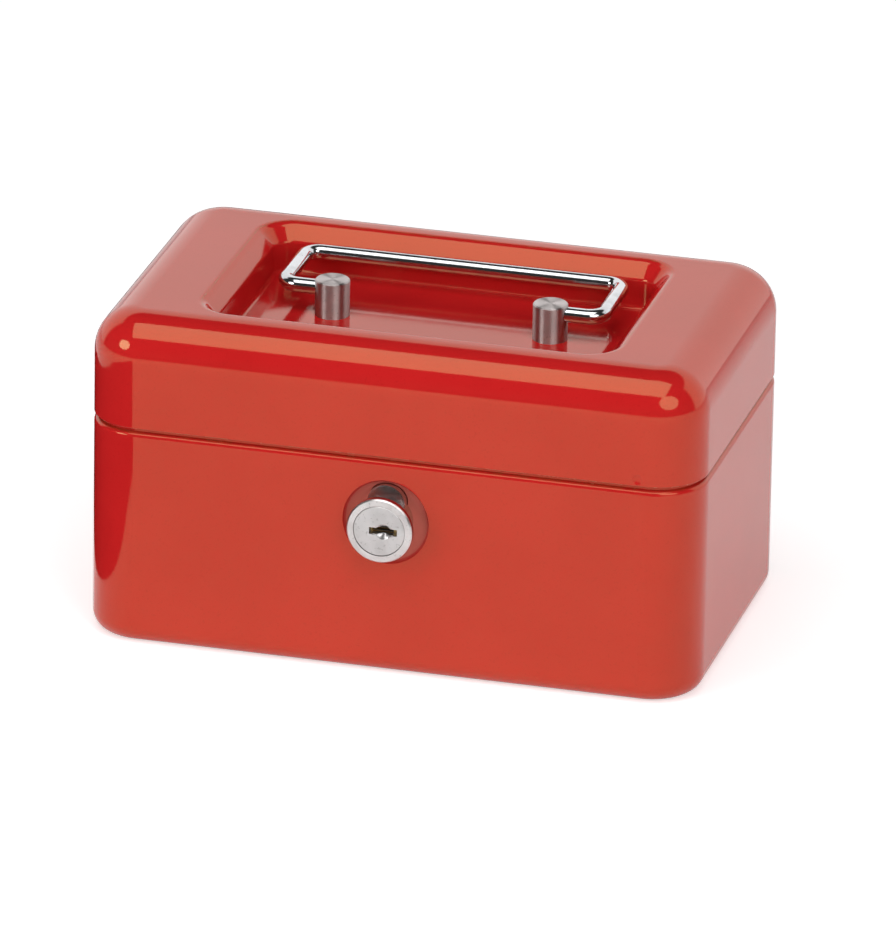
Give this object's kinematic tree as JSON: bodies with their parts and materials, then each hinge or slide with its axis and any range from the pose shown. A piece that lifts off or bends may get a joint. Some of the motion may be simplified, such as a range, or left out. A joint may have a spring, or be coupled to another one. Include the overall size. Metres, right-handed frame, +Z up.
{
  "type": "cash box",
  "caption": "Small rectangular steel cash box with a hinged lid, a folding wire handle in a recess, a round key lock in front and a lift-out coin tray inside.",
  "frame": {"origin": "middle of the base plate's underside", "axes": "+Z up, -Y out of the front wall that holds the lock, +X along the width to the right"},
  "size_m": [0.152, 0.0991, 0.083],
  "materials": {
    "red_enamel": "glossy",
    "chrome": "polished",
    "satin_nickel": "satin",
    "zinc_plate": "satin",
    "brass": "satin",
    "tray_plastic": "matte"
  },
  "bodies": {
    "base": {"body_shell": "red_enamel", "hinge_base_leaf_left": "zinc_plate", "hinge_base_leaf_right": "zinc_plate", "hinge_pin_left": "zinc_plate", "hinge_pin_right": "zinc_plate", "lock_housing": "satin_nickel", "lock_clip": "zinc_plate", "tray_rest_left": "zinc_plate", "tray_rest_right": "zinc_plate"},
    "lid": {"lid_shell": "red_enamel", "hinge_lid_leaf_left": "zinc_plate", "hinge_lid_leaf_right": "zinc_plate", "lid_catch": "zinc_plate", "handle_post_left": "satin_nickel", "handle_post_right": "satin_nickel", "post_washers": "zinc_plate"},
    "bail": {"handle": "chrome"},
    "lock_core": {"lock_plug": "satin_nickel", "lock_wafers": "brass", "stop_washer": "zinc_plate", "lock_cam": "zinc_plate", "cam_screw": "zinc_plate"},
    "tray": {"coin_tray": "tray_plastic"}
  },
  "joints": [
    {"name": "lid_hinge", "type": "hinge", "parent": "base", "child": "lid", "pos_m": [0, 0.0445, 0.05345], "axis": [-1, 0, 0], "range_deg": [0, 112]},
    {"name": "handle_swing", "type": "hinge", "parent": "lid", "child": "bail", "pos_m": [0, 0.0032, 0.0781], "axis": [1, 0, 0], "range_deg": [-9, 189]},
    {"name": "lock_turn", "type": "hinge", "parent": "base", "child": "lock_core", "pos_m": [0, -0.04, 0.0394], "axis": [0, 1, 0], "range_deg": [0, 90]},
    {"name": "tray_lift", "type": "slide", "parent": "base", "child": "tray", "axis": [0, 0, 1], "range_m": [0, 0.008]}
  ]
}
